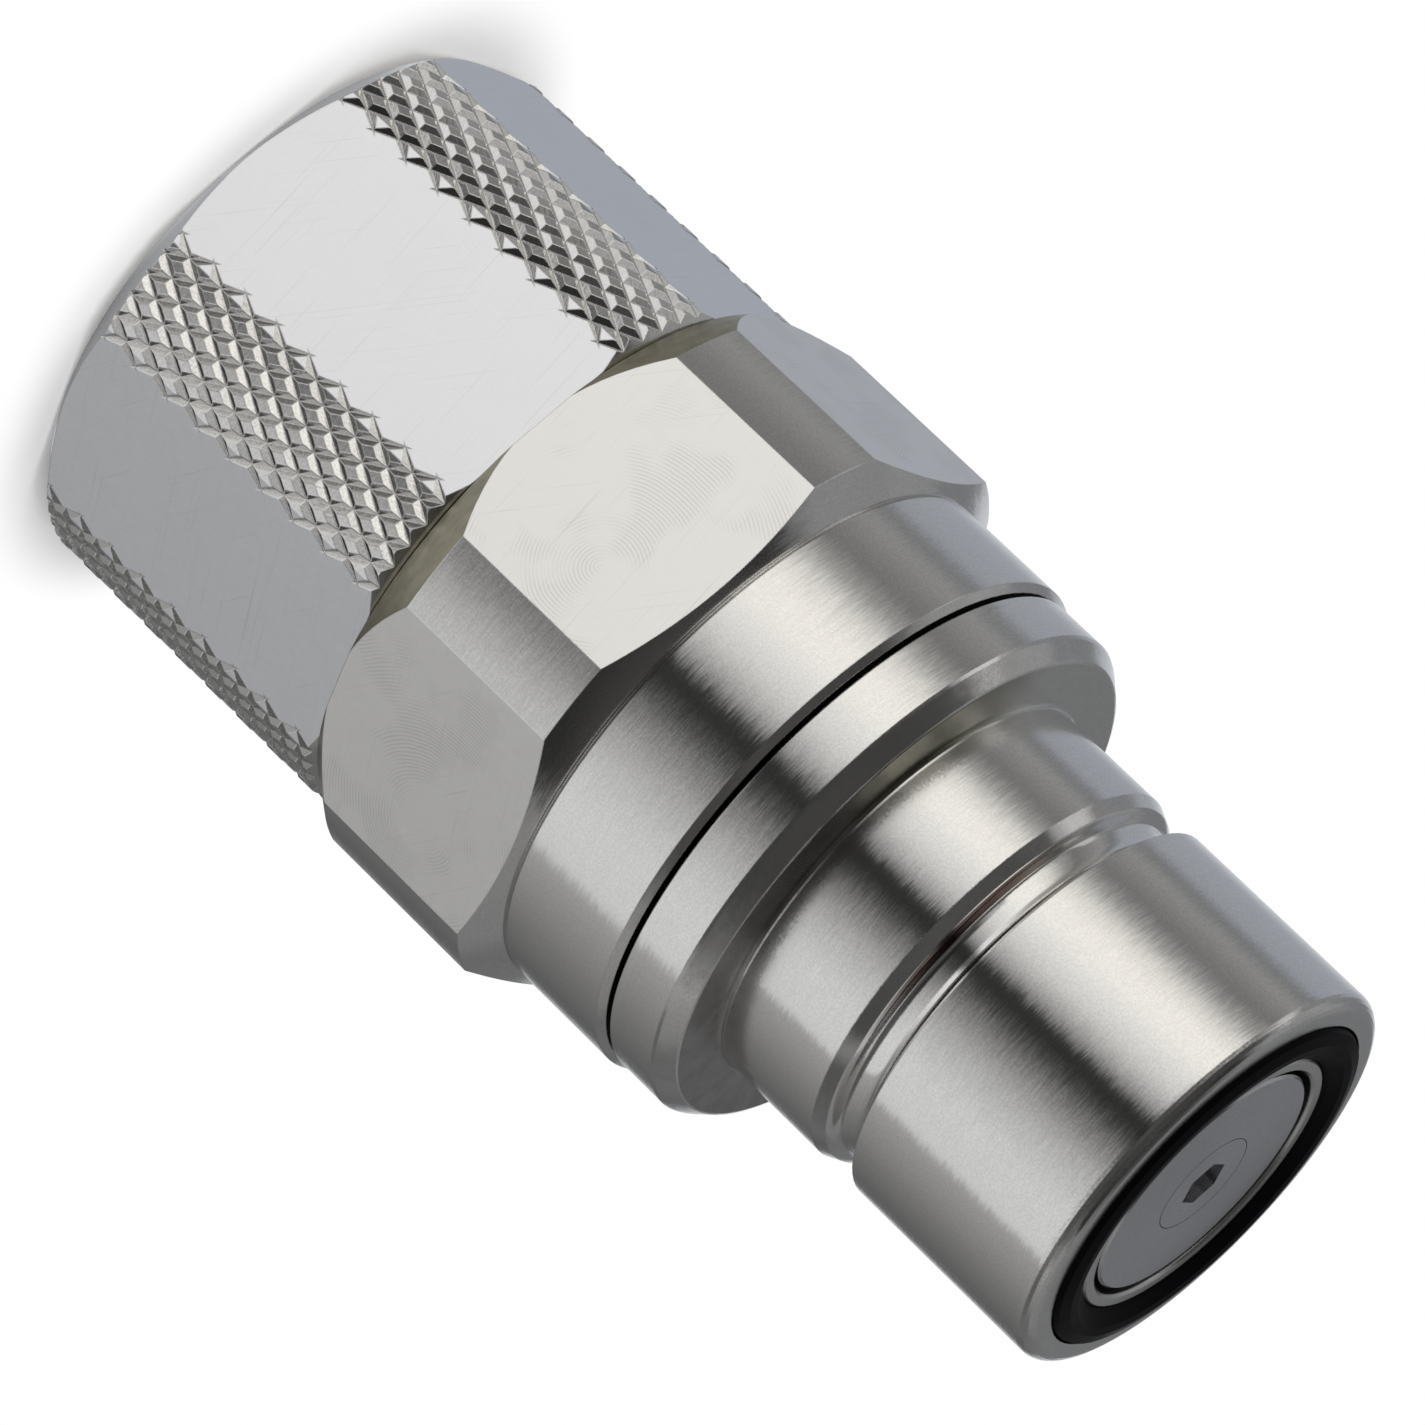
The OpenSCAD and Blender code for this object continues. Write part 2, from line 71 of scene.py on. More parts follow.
nodes = frame["nodes"]

MM = 0.001

# Camera, in degrees and metres, with the lens in millimetres; the picture is framed a little off centre
VIEW_AZIMUTH = -74.4
VIEW_ELEVATION = 20.4
VIEW_ROLL = 133.9
VIEW_DISTANCE = 246.8 * MM
VIEW_HEIGHT = 19.8 * MM
VIEW_LENS = 207.0
VIEW_SHIFT = 0.0021

# Clamp nut, in millimetres, with its roll in degrees
NUT_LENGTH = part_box("clamp_nut")[1][2] / MM
NUT_ROLL = 1.0
NUT_FLAT = 9.55
KNURL_COUNT = 78
KNURL_PITCH = 1.43
KNURL_CREST = 10.2
KNURL_GROOVE = 10.03
KNURL_TOP_SHARE = 0.46
KNURL_START = 4.3

# Body, in millimetres
HEX_FLAT = 10.0
HEX_LOW = NUT_LENGTH + 0.1
HEX_HIGH = HEX_LOW + 7.9
JOINT_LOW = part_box("rear_body")[1][2] / MM
JOINT_HIGH = JOINT_LOW + 0.3
COLLAR_HIGH = JOINT_HIGH + 2.3
GROOVE_LOW = COLLAR_HIGH + 3.9
GROOVE_HIGH = GROOVE_LOW + 1.78
NOSE_RADIUS = 7.2

# Thread of the rear body, in millimetres
THREAD_RADIUS = 8.5
THREAD_PITCH = 1.0
THREAD_DEPTH = 0.55
THREAD_LOW = HEX_LOW - 6.5
THREAD_HIGH = HEX_LOW - 1.1


# ---- Camera ----

def make_camera():
    azimuth, elevation = math.radians(VIEW_AZIMUTH), math.radians(VIEW_ELEVATION)
    back = Vector((
        math.cos(azimuth) * math.cos(elevation),
        math.sin(azimuth) * math.cos(elevation),
        math.sin(elevation)))
    level_right = Vector((-math.sin(azimuth), math.cos(azimuth), 0))
    level_up = back.cross(level_right)
    roll = math.radians(VIEW_ROLL)
    right = math.cos(roll) * level_right + math.sin(roll) * level_up
    up = back.cross(right)
    rotation = Matrix((right, up, back)).transposed()
    data = bpy.data.cameras.new("camera")
    data.lens = VIEW_LENS
    data.sensor_width = 36
    data.shift_x = -VIEW_SHIFT
    data.shift_y = VIEW_SHIFT / 2
    data.clip_start = 0.01
    data.clip_end = 50
    camera = bpy.data.objects.new("camera", data)
    camera.matrix_world = Matrix.Translation(
        Vector((0, 0, VIEW_HEIGHT)) + VIEW_DISTANCE * back) @ rotation.to_4x4()
    bpy.context.scene.collection.objects.link(camera)
    bpy.context.scene.camera = camera


# ---- Mesh helpers, in millimetres ----

def mesh_object(name, points, faces):
    """A closed mesh with its faces turned outwards."""
    mesh = bpy.data.meshes.new(name)
    mesh.from_pydata([tuple(c * MM for c in point) for point in points], [], faces)
    shape = bmesh.new()
    shape.from_mesh(mesh)
    bmesh.ops.recalc_face_normals(shape, faces=shape.faces)
    shape.to_mesh(mesh)
    shape.free()
    obj = bpy.data.objects.new(name, mesh)
    bpy.context.scene.collection.objects.link(obj)
    return obj


def polar(radius, degrees, z):
    angle = math.radians(degrees)
    return (radius * math.cos(angle), radius * math.sin(angle), z)


def lathe(name, outline, segments=180):
    """A ring turned from a closed outline of (radius, z) points."""
    count = len(outline)
    points = [polar(r, 360 * s / segments, z) for s in range(segments) for r, z in outline]
    faces = []
    for s in range(segments):
        here, there = s * count, (s + 1) % segments * count
        for k in range(count):
            after = (k + 1) % count
            faces.append((here + k, here + after, there + after, there + k))
    return mesh_object(name, points, faces)


def prism(name, half_width, turn, low, high):
    """A hexagonal prism whose flats face turn + 30 + 60 k degrees."""
    corner = half_width / math.cos(math.radians(30))
    points = [polar(corner, turn + 60 * k, z) for z in (low, high) for k in range(6)]
    sides = [(k, (k + 1) % 6, (k + 1) % 6 + 6, k + 6) for k in range(6)]
    return mesh_object(name, points, sides + [tuple(range(6)), tuple(range(6, 12))])


def boolean(target, tool, operation):
    """Cuts or keeps target by tool, and removes the tool."""
    modifier = target.modifiers.new("cut", "BOOLEAN")
    modifier.operation = operation
    modifier.solver = "EXACT"
    modifier.object = tool
    bpy.context.view_layer.update()
    evaluated = target.evaluated_get(bpy.context.evaluated_depsgraph_get())
    result = bpy.data.meshes.new_from_object(evaluated)
    target.modifiers.clear()
    target.data = result
    bpy.data.objects.remove(tool)


def solid_copy(name, node):
    """The node's own mesh, welded into one closed solid."""
    shape = bmesh.new()
    shape.from_mesh(nodes[node].data)
    bmesh.ops.remove_doubles(shape, verts=shape.verts, dist=0.0005 * MM)
    shape.verts.index_update()
    points = [tuple(vertex.co / MM) for vertex in shape.verts]
    faces = [[vertex.index for vertex in face.verts] for face in shape.faces]
    shape.free()
    return mesh_object(name, points, faces)


def shade(obj, crease=12):
    """Smooth shading, with every fold over the crease angle left sharp."""
    obj.data.shade_smooth()
    obj.data.set_sharp_from_angle(angle=math.radians(crease))


def coat(obj, material):
    """Leaves the object with this material alone."""
    obj.data.materials.clear()
    obj.data.materials.append(material)


# ---- Node helpers ----

class Graph:
    """A small builder for shader nodes: every call adds a node and links its inputs."""

    def __init__(self, tree):
        self.tree = tree

    def add(self, kind, inputs=(), out=0, **settings):
        node = self.tree.nodes.new(kind)
        for key, value in settings.items():
            setattr(node, key, value)
        pairs = inputs.items() if isinstance(inputs, dict) else enumerate(inputs)
        for key, value in pairs:
            if value is None:
                continue
            if isinstance(value, bpy.types.NodeSocket):
                self.tree.links.new(value, node.inputs[key])
            else:
                node.inputs[key].default_value = value
        return node.outputs[out]

    def math(self, operation, *values):
        return self.add("ShaderNodeMath", values, operation=operation)

    def vector(self, operation, *values, out=0):
        return self.add("ShaderNodeVectorMath", values, out=out, operation=operation)

    def scaled(self, vector, factor):
        return self.add("ShaderNodeVectorMath", {0: vector, "Scale": factor}, operation="SCALE")

    def combine(self, x, y, z):
        return self.add("ShaderNodeCombineXYZ", (x, y, z))

    def split(self, vector):
        node = self.tree.nodes.new("ShaderNodeSeparateXYZ")
        self.tree.links.new(vector, node.inputs[0])
        return node.outputs

    def ramp(self, value, stops):
        node = self.tree.nodes.new("ShaderNodeValToRGB")
        elements = node.color_ramp.elements
        while len(elements) < len(stops):
            elements.new(0.5)
        for element, (position, colour) in zip(elements, stops):
            element.position = position
        for element, (position, colour) in zip(elements, stops):
            element.color = (*colour, 1)
        self.tree.links.new(value, node.inputs[0])
        return node.outputs[0]

    def fade(self, value, low, high, to_low=0.0, to_high=1.0):
        return self.add(
            "ShaderNodeMapRange", (value, low, high, to_low, to_high), interpolation_type="SMOOTHSTEP")

    def between(self, value, low, high):
        """1 where low < value < high."""
        return self.both(self.math("GREATER_THAN", value, low), self.math("LESS_THAN", value, high))

    def both(self, first, *others):
        for other in others:
            first = self.math("MULTIPLY", first, other)
        return first

    def mix(self, factor, a, b):
        """A colour between a and b."""
        node = self.tree.nodes.new("ShaderNodeMix")
        node.data_type = "RGBA"
        node.clamp_factor = True
        for socket, value in ((node.inputs[0], factor), (node.inputs[6], a), (node.inputs[7], b)):
            if isinstance(value, bpy.types.NodeSocket):
                self.tree.links.new(value, socket)
            elif isinstance(value, (int, float)):
                socket.default_value = value
            else:
                socket.default_value = (*value[:3], 1)
        return node.outputs[2]

    def blend(self, factor, a, b):
        """A number between a and b."""
        node = self.tree.nodes.new("ShaderNodeMix")
        for socket, value in ((node.inputs[0], factor), (node.inputs[2], a), (node.inputs[3], b)):
            if isinstance(value, bpy.types.NodeSocket):
                self.tree.links.new(value, socket)
            else:
                socket.default_value = value
        return node.outputs[0]

    def output(self, kind, value):
        self.tree.links.new(value, self.tree.nodes.new(kind).inputs[0])

    def noise(self, vector, scale, detail=2.0, roughness=0.5):
        return self.add("ShaderNodeTexNoise", {
            "Vector": vector, "Scale": scale, "Detail": detail, "Roughness": roughness})


def empty_graph(owner):
    """A builder for the node tree of a material or world, with nothing in it yet."""
    owner.use_nodes = True
    owner.node_tree.nodes.clear()
    return Graph(owner.node_tree)


def new_material(name):
    material = bpy.data.materials.new(name)
    graph = empty_graph(material)
    shader = graph.tree.nodes.new("ShaderNodeBsdfPrincipled")
    graph.output("ShaderNodeOutputMaterial", shader.outputs[0])
    return material, graph, shader


def connect(graph, shader, **sockets):
    for name, value in sockets.items():
        socket = shader.inputs[name.replace("_", " ")]
        if isinstance(value, bpy.types.NodeSocket):
            graph.tree.links.new(value, socket)
        else:
            socket.default_value = value


# ---- Materials ----

# Six flats of a hexagon, with the colour of the milled face and how clearly its mill marks show
Hexagon = namedtuple("Hexagon", "half_width turn low high milled swirl")

# A ring of painted shade and dark reflection between two heights and two radii, on faces that look up (+) or
# down (-) by more than facing. Where reach is under 180 it is a patch that reaches that many degrees each
# way from toward.
ShadePatch = namedtuple(
    "ShadePatch", "low high inner outer facing colour roughness toward reach", defaults=(0, 180))

# A polished groove between two heights, this deep below its outer radius
Groove = namedtuple("Groove", "low high outer depth")

# How far a point may lie off a flat and still take its finish, in millimetres
FLAT_TOLERANCE = 0.012

# How far the brushed lines and the fine sand turn the surface's normal
LINE_BEND = 0.10
SAND_TILT = 0.14

# Gloss of each finish: how rough it is, and how far it is drawn out across the lines
MILLED_ROUGHNESS = 0.26
POLISHED_ROUGHNESS = 0.10
TURNED_STRETCH = 0.8
MILLED_STRETCH = 0.3
POLISHED_STRETCH = 0.2


def tinted(colour, factor):
    return [min(1, c * factor) for c in colour]


class Surface:
    """Places on the part that a material can use, in millimetres from the axis and the base."""

    def __init__(self, graph):
        self.graph = graph
        self.position = graph.scaled(graph.add("ShaderNodeTexCoord", out=3), 1 / MM)
        self.x, self.y, self.z = graph.split(self.position)
        squares = graph.math("MULTIPLY", self.x, self.x), graph.math("MULTIPLY", self.y, self.y)
        self.radius = graph.math("SQRT", graph.math("ADD", *squares))
        self.angle = graph.math("ARCTAN2", self.y, self.x)
        self.normal = graph.add("ShaderNodeNewGeometry", out=1)
        self.tangent = graph.add("ShaderNodeTangent", direction_type="RADIAL", axis="Z")
        self.facing = graph.split(self.normal)

    def brushed(self, length, width, detail=3.0):
        """Noise drawn out round the axis, as turning and brushing leave it."""
        graph = self.graph
        across = graph.math("ADD", self.z, graph.math("MULTIPLY", self.radius, 1.37))
        place = graph.combine(
            graph.math("DIVIDE", self.x, length),
            graph.math("DIVIDE", self.y, length),
            graph.math("DIVIDE", across, width))
        return graph.noise(place, 1.0, detail, 0.6)

    def on_flats(self, half_width, turn, low, high):
        """1 on six flats that face turn + 30 + 60 k degrees, and the place along them."""
        graph = self.graph
        sixth = math.radians(60)
        turned = graph.math("FLOORED_MODULO", graph.math("SUBTRACT", self.angle, math.radians(turn)), sixth)
        local = graph.math("SUBTRACT", turned, sixth / 2)
        reach = graph.math("MULTIPLY", self.radius, graph.math("COSINE", local))
        along = graph.math("MULTIPLY", self.radius, graph.math("SINE", local))
        gap = graph.math("ABSOLUTE", graph.math("SUBTRACT", reach, half_width))
        mask = graph.both(graph.math("LESS_THAN", gap, FLAT_TOLERANCE), graph.between(self.z, low, high))
        return mask, along

    def scratches(self, u, v, degrees, share=0.68):
        """Thin broken lines at an angle across a flat."""
        graph = self.graph
        cosine, sine = math.cos(math.radians(degrees)), math.sin(math.radians(degrees))
        s = graph.math("ADD", graph.math("MULTIPLY", u, cosine), graph.math("MULTIPLY", v, sine))
        t = graph.math("SUBTRACT", graph.math("MULTIPLY", v, cosine), graph.math("MULTIPLY", u, sine))
        length, width = 5.0, 0.05
        place = graph.combine(graph.math("DIVIDE", s, length), graph.math("DIVIDE", t, width), self.angle)
        line = graph.noise(place, 1.0, 1.0)
        return graph.fade(line, share, share + 0.06)

    def sweeps(self, u, v):
        """Arcs that a face mill leaves, in patches."""
        graph = self.graph
        centre, spacing = (2.0, 0.8, 0.0), 0.12
        place = graph.combine(u, v, 0.0)
        reach = graph.vector("LENGTH", graph.vector("SUBTRACT", place, centre), out=1)
        wobble = graph.math("MULTIPLY", graph.noise(graph.scaled(place, 0.8), 1.0, 2.0), 9.0)
        ring = graph.math("ADD", graph.math("MULTIPLY", reach, 2 * math.pi / spacing), wobble)
        wave = graph.fade(graph.math("SINE", ring), -0.2, 0.9)
        patch = graph.noise(graph.combine(u, v, self.angle), 0.42, 2.0)
        return graph.both(wave, graph.fade(patch, 0.45, 0.62))


def milled_plate(surface, hexagon):
    """Where a hexagon's flats are, their milled colour, and the grain in it."""
    graph = surface.graph
    flat, along = surface.on_flats(hexagon.half_width, hexagon.turn, hexagon.low, hexagon.high)
    place = graph.combine(
        graph.math("DIVIDE", along, 0.12), graph.math("DIVIDE", surface.z, 0.5), surface.angle)
    grain = graph.noise(place, 1.0, 3.0, 0.6)
    level, steep = surface.scratches(along, surface.z, 8), surface.scratches(along, surface.z, -37, 0.70)
    marks = graph.math("MULTIPLY", graph.math("MAXIMUM", level, steep), 0.25)
    middle = (hexagon.low + hexagon.high) / 2
    arcs = surface.sweeps(along, graph.math("SUBTRACT", surface.z, middle))
    dark = tinted(hexagon.milled, 0.6)
    plate = graph.mix(grain, tinted(hexagon.milled, 0.95), tinted(hexagon.milled, 1.04))
    plate = graph.mix(marks, plate, dark)
    plate = graph.mix(graph.math("MULTIPLY", arcs, hexagon.swirl), plate, dark)
    return flat, plate, grain


def shade_patch_place(surface, shade_patch):
    """Where a patch of painted shade lies, and its mottled colour."""
    graph = surface.graph
    aimed = graph.math("MULTIPLY", surface.facing[2], math.copysign(1, shade_patch.facing))
    mask = graph.both(
        graph.between(surface.z, shade_patch.low, shade_patch.high),
        graph.between(surface.radius, shade_patch.inner, shade_patch.outer),
        graph.math("GREATER_THAN", aimed, abs(shade_patch.facing)))
    if shade_patch.reach < 180:
        side = graph.math("COSINE", graph.math("SUBTRACT", surface.angle, math.radians(shade_patch.toward)))
        edge, softness = math.cos(math.radians(shade_patch.reach)), 0.12
        mask = graph.math("MULTIPLY", mask, graph.fade(side, edge - softness, edge + softness))
    place = graph.combine(
        graph.math("DIVIDE", surface.x, 0.9), graph.math("DIVIDE", surface.y, 0.9),
        graph.math("DIVIDE", surface.z, 0.35))
    # Mottling inside the painted shade
    shade_mottle = graph.noise(place, 1.0, 4.0, 0.65)
    return mask, graph.mix(graph.fade(shade_mottle, 0.30, 0.70), tinted(shade_patch.colour, 0.75), shade_patch.colour)


def steel(name, base, rough=0.2, hexagon=None, shade_patches=(), groove=None, wear=0.05):
    """Turned steel. A hexagon or a groove on it gets its own finish, and patches of painted shade are laid
    over it.
    """
    material, graph, shader = new_material(name)
    surface = Surface(graph)
    lines = surface.brushed(length=0.7, width=0.05)
    broad = surface.brushed(length=5.0, width=0.4, detail=1.0)
    cloud = graph.noise(surface.position, 0.35, 2.0)
    sand = graph.noise(surface.position, 14.0, 2.0, 0.6)
    bend = graph.math("MULTIPLY", graph.math("SUBTRACT", lines, 0.5), LINE_BEND)
    tilt = graph.math("MULTIPLY", graph.math("SUBTRACT", sand, 0.5), SAND_TILT)
    roughness = graph.math("ADD", rough - 0.02, graph.math("MULTIPLY", cloud, 0.04))
    colour = graph.mix(lines, tinted(base, 0.88), tinted(base, 1.10))
    colour = graph.mix(graph.fade(sand, 0.35, 0.65, 0.0, 0.34), colour, tinted(base, 0.7))
    colour = graph.mix(graph.math("MULTIPLY", broad, 0.1), colour, tinted(base, 0.8))
    stretch = TURNED_STRETCH
    if hexagon:
        flat, plate, grain = milled_plate(surface, hexagon)
        milled_roughness = graph.math("ADD", MILLED_ROUGHNESS, graph.math("MULTIPLY", grain, 0.08))
        colour = graph.mix(flat, colour, plate)
        bend = graph.math("MULTIPLY", bend, graph.blend(flat, 1.0, 0.25))
        tilt = graph.math("MULTIPLY", tilt, graph.blend(flat, 1.0, 0.5))
        roughness = graph.blend(flat, roughness, milled_roughness)
        stretch = graph.blend(flat, stretch, MILLED_STRETCH)
    # Painted shade and dark reflections, laid over the steel's colour
    for shade_patch in shade_patches:
        mask, mottled = shade_patch_place(surface, shade_patch)
        colour = graph.mix(mask, colour, mottled)
        roughness = graph.blend(mask, roughness, shade_patch.roughness)
    if groove:
        in_groove = graph.both(
            graph.between(surface.z, groove.low, groove.high),
            graph.math("LESS_THAN", surface.radius, groove.outer),
            graph.math("GREATER_THAN", surface.radius, groove.outer - groove.depth))
        roughness = graph.blend(in_groove, roughness, POLISHED_ROUGHNESS)
        stretch = graph.blend(in_groove, stretch, POLISHED_STRETCH)
        bend = graph.math("MULTIPLY", bend, graph.blend(in_groove, 1.0, 0.35))
        tilt = graph.math("MULTIPLY", tilt, graph.blend(in_groove, 1.0, 0.3))
    worn = graph.add("ShaderNodeBevel", {"Radius": wear * MM}, samples=4)
    slanted = graph.vector("ADD", graph.scaled(surface.tangent, bend), graph.combine(0.0, 0.0, tilt))
    bent = graph.vector("NORMALIZE", graph.vector("ADD", worn, slanted))
    connect(
        graph, shader, Base_Color=colour, Metallic=1.0, Roughness=roughness, Normal=bent,
        Anisotropic=stretch, Anisotropic_Rotation=0.25, Tangent=surface.tangent)
    return material


def rubber(name):
    material, graph, shader = new_material(name)
    surface = Surface(graph)
    grain = graph.noise(surface.position, 9.0, 4.0, 0.6)
    cloud = graph.noise(surface.position, 0.6, 2.0)
    colour = graph.mix(cloud, (0.0006, 0.0006, 0.001), (0.0015, 0.0015, 0.0022))
    roughness = graph.math("ADD", 0.38, graph.math("MULTIPLY", cloud, 0.14))
    bump = graph.add("ShaderNodeBump", {"Strength": 0.08, "Distance": 0.02 * MM, "Height": grain})
    connect(graph, shader, Base_Color=colour, Roughness=roughness, Normal=bump, Specular_IOR_Level=0.05)
    return material


# ---- Clamp nut with its knurl ----

def knurled_bar():
    """A bar with flat-topped diamonds between two sets of V grooves, longer than the nut at both ends."""
    columns = 2 * KNURL_COUNT
    step = 360 / columns
    rise = KNURL_PITCH / 2
    past = 0.8
    low = math.floor(-(KNURL_START + past) / rise)
    low -= low % 2
    high = math.ceil((NUT_LENGTH - KNURL_START + past) / rise)
    high += high % 2
    points, faces, crossing = [], [], {}

    def add(column, row, radius):
        points.append(polar(radius, NUT_ROLL + column * step, KNURL_START + row * rise))
        return len(points) - 1

    def groove_point(column, row):
        key = (column % columns, row)
        if key not in crossing:
            crossing[key] = add(*key, KNURL_GROOVE)
        return crossing[key]

    for row in range(low + 1, high):
        for column in range((row + 1) % 2, columns, 2):
            around = [(-1, 0), (0, -1), (1, 0), (0, 1)]
            outer = [groove_point(column + i, row + j) for i, j in around]
            share = KNURL_TOP_SHARE
            top = [add(column + i * share, row + j * share, KNURL_CREST) for i, j in around]
            for k in range(4):
                after = (k + 1) % 4
                faces.append((outer[k], outer[after], top[after], top[k]))
            faces.append((top[0], top[1], top[3]))
            faces.append((top[1], top[2], top[3]))
    for end, inward in ((low, 1), (high, -1)):
        points.append((0, 0, KNURL_START + end * rise))
        middle = len(points) - 1
        for column in range(0, columns, 2):
            here, there = groove_point(column, end), groove_point(column + 2, end)
            faces.append((here, there, groove_point(column + 1, end + inward)))
            faces.append((here, there, middle))
    return mesh_object("knurled_nut", points, faces)


def make_nut():
    """The bar of diamonds inside a turned blank with flats, whose threaded hole is left plain."""
    bore, pocket, thread, entry = 6.75, 8.2, 8.55, 0.35
    end_wall, pocket_high, thread_low = 1.7, 6.3, 6.65
    face_radius, edge_radius, edge_high, chamfer_high = 9.40, 9.62, 0.25, 0.85
    rim_inset, rim_height = 0.3, 0.4
    outside = KNURL_CREST + 0.1
    blank = lathe("blank", [
        (bore + entry, 0), (face_radius, 0), (edge_radius, edge_high), (outside, chamfer_high),
        (outside, NUT_LENGTH - rim_height), (KNURL_CREST - rim_inset, NUT_LENGTH),
        (thread + entry, NUT_LENGTH), (thread, NUT_LENGTH - entry), (thread, thread_low),
        (pocket, pocket_high), (pocket, end_wall), (bore, end_wall), (bore, entry)])
    boolean(blank, prism("wrench_flats", NUT_FLAT, NUT_ROLL, -1, NUT_LENGTH + 1), "INTERSECT")
    nut = knurled_bar()
    boolean(nut, blank, "INTERSECT")
    shade(nut)
    coat(nut, nut_metal)
    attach(nut, "nut")
    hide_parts("clamp_nut")


# ---- Thread ----

def thread_groove():
    """A right-hand V groove wound round the axis, open to the outside."""
    steps = 72
    half_angle = math.radians(30)
    over, run_out = 0.2, 0.4
    half_width = (THREAD_DEPTH + over) * math.tan(half_angle)
    low, high = THREAD_LOW - THREAD_PITCH, THREAD_HIGH + run_out
    count = int((high - low) / THREAD_PITCH * steps)
    points, faces = [], []
    for k in range(count + 1):
        z = low + k * THREAD_PITCH / steps
        turn = 360 * k / steps
        points.append(polar(THREAD_RADIUS + over, turn, z - half_width))
        points.append(polar(THREAD_RADIUS + over, turn, z + half_width))
        points.append(polar(THREAD_RADIUS - THREAD_DEPTH, turn, z))
    for k in range(count):
        for i in range(3):
            here, there = 3 * k + i, 3 * k + (i + 1) % 3
            faces.append((here, here + 3, there + 3, there))
    faces.append((0, 1, 2))
    faces.append((3 * count, 3 * count + 2, 3 * count + 1))
    return mesh_object("thread_groove", points, faces)


def make_threaded_body():
    """The rear body with its thread cut in."""
    body = solid_copy("threaded_body", "rear_body")
    boolean(body, thread_groove(), "DIFFERENCE")
    shade(body, 24)
    coat(body, body_metal)
    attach(body, "root")
    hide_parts("rear_body")


def make_ring(name, outline):
    """A turned detail that sits on the body."""
    ring = lathe(name, outline)
    shade(ring, 24)
    coat(ring, body_metal)
    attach(ring, "root")


def make_rings():
    """The rounded bottom of the ball groove and the lower lip of the front collar."""
    low = GROOVE_LOW
    make_ring("groove_floor", [
        (6.30, low - 0.40), (7.15, low - 0.40), (7.197, low + 0.005), (7.09, low + 0.23), (7.00, low + 0.42),
        (6.94, low + 0.47), (6.80, low + 0.53), (6.67, low + 0.58), (6.59, low + 0.64), (6.55, low + 0.72),
        (6.53, low + 0.85), (6.515, low + 1.00), (6.51, low + 1.15), (6.52, low + 1.28), (6.57, low + 1.40),
        (6.40, low + 1.50), (6.30, low + 1.50)])
    make_ring("collar_lip", [
        (8.90, JOINT_LOW + 0.15), (9.39, JOINT_LOW + 0.15), (9.452, JOINT_LOW + 0.22),
        (9.452, JOINT_HIGH + 0.14), (9.42, JOINT_HIGH + 0.36), (8.90, JOINT_HIGH + 0.36)])


def make_spring():
    """The valve's spring, welded into one solid. The real one shortens as the valve goes in; this copy keeps
    its length.
    """
    spring = solid_copy("wound_spring", "valve_spring")
    shade(spring, 60)
    coat(spring, spring_metal)
    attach(spring, "root")
    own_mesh(spring)
    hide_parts("valve_spring")


# ---- Light ----

def grey(level, warmth=0.0):
    """A level with a warm (positive) or cool (negative) cast."""
    return (level * (1 + 0.06 * warmth), level * (1 + 0.01 * warmth), level * (1 - 0.08 * warmth))


# What the metal mirrors instead of the white background: direction from the camera's azimuth in degrees,
# level and warmth. PAPER lies below the part, WALLS stand round it, and SKY, MID and HIGH follow upwards.
# This isn't plain light. WALLS follows, in coarse form and nearly all the way round, the brightness that
# was measured round the nose and collars in the photo. The other levels were tuned against the photo.
WALLS = [
    (-180, 0.85, -0.5), (-165, 0.60, -0.8), (-150, 0.42, -1.2), (-120, 0.40, -1.2), (-110, 0.22, -0.5),
    (-100, 0.33, 0.0), (-80, 0.20, 0.0), (-70, 0.40, 0.2), (-60, 0.88, 0.4), (-50, 1.10, 0.5),
    (-40, 1.10, 0.4), (-30, 0.96, 0.2), (-20, 0.77, 0.1), (-10, 0.42, 0.0), (-3, 0.03, 0.0),
    (3, 0.03, 0.0), (10, 0.08, 0.0), (20, 0.27, 0.0), (30, 0.48, 0.0), (40, 0.63, -0.1),
    (50, 0.74, -0.2), (60, 0.80, -0.2), (83, 0.77, -0.2), (86, 0.42, 0.0), (100, 0.33, 0.0),
    (120, 0.22, 0.0), (150, 0.12, -0.2), (160, 0.15, -0.3), (170, 0.60, -0.5), (180, 0.85, -0.5),
]
PAPER = [
    (-180, 0.45, -0.8), (-110, 0.30, 0.5), (-80, 0.25, 0.9), (-50, 0.50, 0.3), (-35, 0.85, 0.1),
    (-12, 0.95, 0.0), (-3, 0.12, 0.0), (6, 0.12, 0.0), (14, 0.95, 0.0), (45, 0.80, 0.0),
    (80, 0.35, 0.0), (125, 0.05, 0.0), (160, 0.30, -0.3), (180, 0.45, -0.8),
]
SKY = [
    (-180, 0.20, -0.4), (-120, 0.26, -0.6), (-104, 0.26, 0.0), (-97, 0.60, 0.0), (-87, 0.60, 0.0),
    (-79, 0.20, 0.0), (-50, 0.20, 0.0), (-42, 0.45, 0.0), (-24, 0.50, 0.0), (-14, 0.08, 0.0),
    (0, 0.02, 0.0), (25, 0.03, 0.0), (50, 0.10, 0.0), (90, 0.10, 0.0), (140, 0.16, -0.2),
    (180, 0.20, -0.4),
]
MID = [
    (-180, 0.20, -0.4), (-126, 0.36, -0.3), (-101, 0.32, 0.0), (-96, 0.75, 0.0), (-84, 0.80, 0.0),
    (-73, 0.10, 0.0), (-45, 0.08, 0.0), (0, 0.09, 0.0), (45, 0.08, 0.0), (66, 0.08, 0.0),
    (82, 0.35, 0.0), (98, 0.45, 0.0), (106, 0.32, 0.0), (126, 0.25, 0.0), (140, 0.25, -0.2),
    (180, 0.20, -0.4),
]
HIGH = [
    (-180, 0.20, -0.4), (-120, 0.32, -0.3), (-100, 0.30, 0.0), (-88, 0.07, 0.0), (-45, 0.05, 0.0),
    (30, 0.05, 0.0), (50, 0.06, 0.0), (72, 0.12, 0.0), (85, 0.17, 0.0), (105, 0.32, 0.0),
    (128, 0.28, 0.0), (180, 0.20, -0.4),
]
